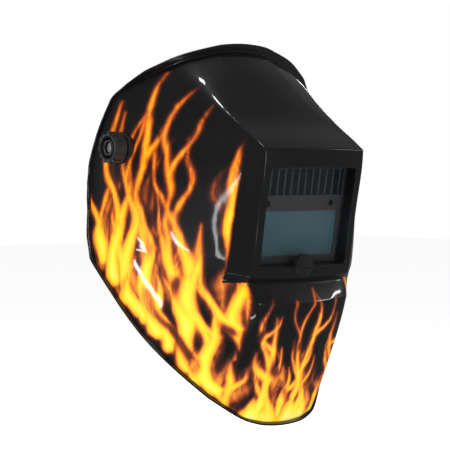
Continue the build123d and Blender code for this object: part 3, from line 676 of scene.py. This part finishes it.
def flame_material():
    """Clear-coated black with the printed flames."""
    material = bpy.data.materials.new("shell_gloss_flames")
    material.use_nodes = True
    nodes, links = material.node_tree.nodes, material.node_tree.links
    shader = nodes["Principled BSDF"]
    flame = nodes.new("ShaderNodeAttribute")
    flame.attribute_name = "tongue_depth"
    ember = nodes.new("ShaderNodeAttribute")
    ember.attribute_name = "ember_glow"
    coords = nodes.new("ShaderNodeTexCoord")
    stretch = nodes.new("ShaderNodeMapping")
    stretch.inputs["Scale"].default_value = (90, 90, 26)
    links.new(coords.outputs["Object"], stretch.inputs["Vector"])
    streaks = nodes.new("ShaderNodeTexNoise")
    streaks.inputs["Scale"].default_value = 1.0
    streaks.inputs["Detail"].default_value = 3.0
    streaks.inputs["Distortion"].default_value = 1.2
    links.new(stretch.outputs["Vector"], streaks.inputs["Vector"])

    def maths(kind, a, b, c=None):
        node = nodes.new("ShaderNodeMath")
        node.operation = kind
        for slot, value in enumerate((a, b, c)):
            if value is None:
                continue
            if isinstance(value, (int, float)):
                node.inputs[slot].default_value = value
            else:
                links.new(value, node.inputs[slot])
        return node.outputs[0]

    licked = maths("MULTIPLY_ADD", streaks.outputs["Fac"], 4.4, -2.4)
    depth = maths("ADD", flame.outputs["Fac"], licked)
    place = maths("MULTIPLY_ADD", depth, 1 / 18.0, 4.0 / 18.0)
    colour = ramp(nodes, [
        (0.02, (0.0025, 0.0025, 0.0027)), (0.12, (0.030, 0.006, 0.002)), (0.19, (0.20, 0.030, 0.003)),
        (0.24, (0.62, 0.11, 0.004)), (0.31, (0.93, 0.36, 0.003)), (0.41, (0.98, 0.58, 0.004)),
        (0.62, (1.0, 0.74, 0.04)), (1.0, (1.0, 0.88, 0.34))])
    links.new(place, colour.inputs["Fac"])
    torn = maths("MULTIPLY_ADD", streaks.outputs["Fac"], 2.2, -0.35)
    glow_place = maths("MULTIPLY", ember.outputs["Fac"], torn)
    glow = ramp(nodes, [
        (0.05, (0.0025, 0.0025, 0.0027)), (0.30, (0.080, 0.012, 0.002)), (0.55, (0.38, 0.065, 0.004)),
        (1.0, (0.90, 0.27, 0.008))])
    links.new(glow_place, glow.inputs["Fac"])
    both = nodes.new("ShaderNodeMix")
    both.data_type = "RGBA"
    both.blend_type = "LIGHTEN"
    both.inputs["Factor"].default_value = 1.0
    links.new(colour.outputs["Color"], both.inputs[6])
    links.new(glow.outputs["Color"], both.inputs[7])
    links.new(both.outputs[2], shader.inputs["Base Color"])
    shader.inputs["Roughness"].default_value = 0.32
    shader.inputs["Coat Weight"].default_value = 1.0
    shader.inputs["Coat Roughness"].default_value = 0.05
    ripple = nodes.new("ShaderNodeTexNoise")
    ripple.inputs["Scale"].default_value = 90.0
    ripple.inputs["Detail"].default_value = 2.0
    links.new(coords.outputs["Object"], ripple.inputs["Vector"])
    bump = nodes.new("ShaderNodeBump")
    bump.inputs["Strength"].default_value = 0.03
    bump.inputs["Distance"].default_value = 0.001
    links.new(ripple.outputs["Fac"], bump.inputs["Height"])
    links.new(bump.outputs["Normal"], shader.inputs["Normal"])
    links.new(bump.outputs["Normal"], shader.inputs["Coat Normal"])
    return material


# ---------------------------------------------------------------- materials
def textured(name, dark, light, roughness, scale=400.0, bump=0.15, metallic=0.0, coat=0.0, stretch=(1, 1, 1),
             alpha=1.0, sheen=0.0, kind="noise"):
    """A procedural finish: two tones, uneven roughness and a fine relief, all from one texture."""
    material = bpy.data.materials.new(name)
    material.use_nodes = True
    nodes, links = material.node_tree.nodes, material.node_tree.links
    shader = nodes["Principled BSDF"]
    coords = nodes.new("ShaderNodeTexCoord")
    mapping = nodes.new("ShaderNodeMapping")
    mapping.inputs["Scale"].default_value = stretch
    links.new(coords.outputs["Object"], mapping.inputs["Vector"])
    if kind == "weave":
        grain = nodes.new("ShaderNodeTexVoronoi")
        grain.inputs["Scale"].default_value = scale
        level = grain.outputs["Distance"]
    else:
        grain = nodes.new("ShaderNodeTexNoise")
        grain.inputs["Scale"].default_value = scale
        grain.inputs["Detail"].default_value = 5.0
        level = grain.outputs["Fac"]
    links.new(mapping.outputs["Vector"], grain.inputs["Vector"])
    tones = ramp(nodes, [(0.3, dark), (0.7, light)])
    links.new(level, tones.inputs["Fac"])
    links.new(tones.outputs["Color"], shader.inputs["Base Color"])
    spread = nodes.new("ShaderNodeMapRange")
    spread.inputs["To Min"].default_value = max(roughness - 0.08, 0.02)
    spread.inputs["To Max"].default_value = roughness + 0.08
    links.new(level, spread.inputs["Value"])
    links.new(spread.outputs["Result"], shader.inputs["Roughness"])
    relief = nodes.new("ShaderNodeBump")
    relief.inputs["Strength"].default_value = bump
    relief.inputs["Distance"].default_value = 0.0004
    links.new(level, relief.inputs["Height"])
    links.new(relief.outputs["Normal"], shader.inputs["Normal"])
    shader.inputs["Metallic"].default_value = metallic
    shader.inputs["Coat Weight"].default_value = coat
    shader.inputs["Coat Roughness"].default_value = 0.06
    shader.inputs["Sheen Weight"].default_value = sheen
    shader.inputs["Alpha"].default_value = alpha
    return material


def solar_material():
    """A dark solar strip with thin upright lines between its cells."""
    material = textured("solar_cells", (0.004, 0.006, 0.009), (0.008, 0.011, 0.016), 0.22,
                        coat=0.6, bump=0.02)
    nodes, links = material.node_tree.nodes, material.node_tree.links
    shader = nodes["Principled BSDF"]
    coords = nodes.new("ShaderNodeTexCoord")
    bands = nodes.new("ShaderNodeTexWave")
    bands.bands_direction = "X"
    bands.inputs["Scale"].default_value = 38.0
    links.new(coords.outputs["Object"], bands.inputs["Vector"])
    lines = ramp(nodes, [(0.80, (0.005, 0.008, 0.012)), (0.97, (0.035, 0.045, 0.055))])
    links.new(bands.outputs["Fac"], lines.inputs["Fac"])
    links.new(lines.outputs["Color"], shader.inputs["Base Color"])
    return material


BLACK, SOFT_BLACK = (0.006, 0.006, 0.0065), (0.014, 0.014, 0.015)
FINISHES = {
    "rim": textured("rim_gloss", (0.003, 0.003, 0.0035), (0.006, 0.006, 0.0065), 0.2, 60.0, 0.03, coat=1.0),
    "inside": textured("inside_satin", BLACK, SOFT_BLACK, 0.42, 900.0, 0.12),
    "moulded": textured("moulded_black", BLACK, SOFT_BLACK, 0.42, 1500.0, 0.3),
    "bar": textured("filter_case_grain", (0.022, 0.022, 0.024), (0.06, 0.06, 0.064), 0.5, 1100.0, 0.4),
    "clear": textured("clear_cover", (0.010, 0.012, 0.012), (0.016, 0.018, 0.018), 0.10, 30.0, 0.0,
                      alpha=0.10),
    "rubber": textured("seal_rubber", BLACK, (0.011, 0.011, 0.011), 0.6, 800.0, 0.2),
    "badge": textured("badge_gloss", (0.004, 0.004, 0.0045), (0.01, 0.01, 0.011), 0.12, 90.0, 0.02, coat=1.0),
    "sensor": textured("sensor_dark", (0.003, 0.002, 0.003), (0.012, 0.004, 0.006), 0.12, 300.0, 0.02,
                       coat=1.0),
    "glass": textured("filter_teal", (0.050, 0.098, 0.122), (0.058, 0.110, 0.136), 0.14, 22.0, 0.0, coat=0.4),
    "board": textured("solder_mask", (0.01, 0.05, 0.02), (0.02, 0.08, 0.03), 0.4, 500.0, 0.2),
    "steel": textured("zinc_steel", (0.38, 0.38, 0.39), (0.6, 0.6, 0.61), 0.32, 700.0, 0.15, metallic=1.0,
                      stretch=(1, 1, 6)),
    "brass": textured("blackened_brass", (0.020, 0.017, 0.012), (0.045, 0.038, 0.028), 0.4, 900.0, 0.12,
                      metallic=1.0, stretch=(6, 1, 1)),
    "nylon": textured("natural_nylon", (0.42, 0.41, 0.37), (0.55, 0.54, 0.50), 0.45, 500.0, 0.15),
    "dial": textured("dial_satin", (0.012, 0.012, 0.013), (0.03, 0.03, 0.032), 0.36, 1200.0, 0.2),
    "red": textured("button_red", (0.16, 0.012, 0.008), (0.26, 0.02, 0.012), 0.45, 900.0, 0.2),
    "knob": textured("knob_grain", (0.010, 0.010, 0.011), (0.028, 0.028, 0.030), 0.36, 1600.0, 0.35),
    "fabric": textured("towelling", (0.012, 0.012, 0.014), (0.05, 0.05, 0.055), 0.85, 650.0, 0.9, sheen=0.5,
                       kind="weave"),
    "solar": solar_material(),
}
SLOT_FINISH = {
    "badge_plastic": "badge", "clear_lens": "clear", "rubber_black": "rubber", "case_plastic": "bar",
    "solar_cell": "solar", "sensor_lens": "sensor", "filter_glass": "glass", "lcd_glass": "glass",
    "board": "board", "steel": "steel", "dial_plastic": "dial", "button_rubber": "red", "frame_plastic": "moulded",
    "washer_nylon": "nylon", "knob_plastic": "knob", "brass": "brass", "headgear_plastic": "moulded",
    "sweat_fabric": "fabric", "shell_gloss": "inside",
}
BEVELS_OFF = ("helmet_shell", "uv_ir_glass", "lcd_cell", "solar_panel", "front_cover_lens",
              "inner_cover_lens")


NODE_WELD, EDGE_WIDTH, EDGE_ANGLE = 0.00002, 0.00035, 38


def finish_cad_nodes():
    """Gives every carried-over CAD node its procedural finish and softened edges."""
    slots = {part["node"]: part["material_slot"] for part in frame["record"]["subparts"]}
    for name, node in frame["nodes"].items():
        material = FINISHES[SLOT_FINISH[slots[name]]]
        for place in node.material_slots:
            place.link = "OBJECT"
            place.material = material
        if name in BEVELS_OFF:
            continue
        weld = node.modifiers.new("weld", "WELD")
        weld.merge_threshold = NODE_WELD
        bevel = node.modifiers.new("edges", "BEVEL")
        bevel.width = EDGE_WIDTH
        bevel.segments = 2
        bevel.limit_method = "ANGLE"
        bevel.angle_limit = math.radians(EDGE_ANGLE)


# ---------------------------------------------------------------- shell's inside fittings
def turned(build, axis_point, along, across, profile, steps=40):
    """A turned ring: (distance along the axis, radius) points, closed on itself."""
    rings = []
    third = along.cross(across)
    for reach, radius in profile:
        ring = []
        for n in range(steps):
            turn = 2 * math.pi * n / steps
            spoke = across * math.cos(turn) + third * math.sin(turn)
            ring.append(build.vert(axis_point + along * (reach * MM) + spoke * (radius * MM)))
        rings.append(ring)
    for n, ring in enumerate(rings):
        build.strip(ring, rings[(n + 1) % len(rings)])


# (distance along the axis, radius) round each boss on the tilt axis and each screw post, in mm
BOSS_PROFILE = [(109.0, 6.1), (109.0, 12.9), (109.6, 13.5), (116.0, 13.5), (118.0, 14.3), (118.6, 13.3),
                (118.6, 6.1)]
POST_PROFILE = [(2.6, 1.3), (10.1, 1.3), (10.1, 2.2), (9.7, 2.6), (2.6, 3.0)]
POST_U, POST_V, POST_STEPS = 57.4, 38.0, 20


def shell_bosses():
    """The pivot bosses and the screw posts moulded on the shell's inside."""
    build = Builder()
    for sign in (1, -1):
        turned(build, Vector((0, 0, 0)), Vector((sign, 0, 0)), Vector((0, 1, 0)), BOSS_PROFILE)
    inward = (face_point(0, 0, -1) - face_point(0, 0, 0)).normalized()
    for u in (-POST_U, POST_U):
        for v in (-POST_V, POST_V):
            turned(build, face_point(u, v, 0), inward, Vector((1, 0, 0)), POST_PROFILE, POST_STEPS)
    return build.done("shell_bosses")


# ---------------------------------------------------------------- padded pieces
PAD_PRESSURE, PAD_FRAMES, PAD_FILL = 4.0, 20, 0.7
PAD_SHRINK, PAD_SWELL = 0.7, 0.9        # how far a pad starts inside its solid, and may then swell, in mm


def padded_piece(node, name, voxel):
    """A pad swollen by cloth pressure from a slightly smaller copy of its CAD solid."""
    mesh = frame["nodes"][node].data.copy()
    mesh.materials.clear()
    pad = bpy.data.objects.new(name, mesh)
    bpy.context.collection.objects.link(pad)
    weld = pad.modifiers.new("weld", "WELD")
    weld.merge_threshold = 0.00005
    remesh = pad.modifiers.new("remesh", "REMESH")
    remesh.mode = "VOXEL"
    remesh.voxel_size = voxel * MM
    thin = pad.modifiers.new("thin", "DISPLACE")
    thin.strength = -PAD_SHRINK * MM
    thin.mid_level = 0.0
    apply_modifiers(pad)
    start = positions(pad.data)
    cloth = pad.modifiers.new("cloth", "CLOTH")
    cloth.settings.use_pressure = True
    cloth.settings.uniform_pressure_force = PAD_PRESSURE
    cloth.settings.effector_weights.gravity = 0.0
    cloth.settings.quality = 4
    scene = bpy.context.scene
    for tick in range(1, PAD_FRAMES + 1):
        scene.frame_set(tick)
    apply_modifiers(pad)
    scene.frame_set(1)
    move = (positions(pad.data) - start).reshape(-1, 3)
    far = np.linalg.norm(move, axis=1, keepdims=True)
    move *= np.minimum(1.0, PAD_SWELL * MM / np.maximum(far, 1e-9))
    pad.data.vertices.foreach_set("co", (start.reshape(-1, 3) + move).ravel())
    soften = pad.modifiers.new("soften", "SMOOTH")
    soften.iterations = 4
    round_off = pad.modifiers.new("round", "SUBSURF")
    round_off.levels = round_off.render_levels = 1
    apply_modifiers(pad)
    pad.data.shade_smooth()
    pad.data.materials.clear()
    pad.data.materials.append(FINISHES["fabric"])
    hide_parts(node)
    return pad


def dressed(piece, material):
    """The piece with one material."""
    piece.data.materials.clear()
    piece.data.materials.append(material)
    return piece


add_camera()
add_stage()
bpy.context.scene.view_settings.view_transform = "Standard"
finish_cad_nodes()

outer = dressed(shell_outer(), flame_material())
paint_flames(outer)
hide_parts("helmet_shell")
skins = [outer, dressed(shell_rim(), FINISHES["rim"]), dressed(shell_inner(), FINISHES["inside"]),
         dressed(shell_bosses(), FINISHES["inside"])]
for piece in skins:
    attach(piece, "shell")
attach(padded_piece("sweatband", "sweatband_pad", 2.2), "headgear")
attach(padded_piece("nape_pad", "nape_pad_soft", 2.4), "nape")
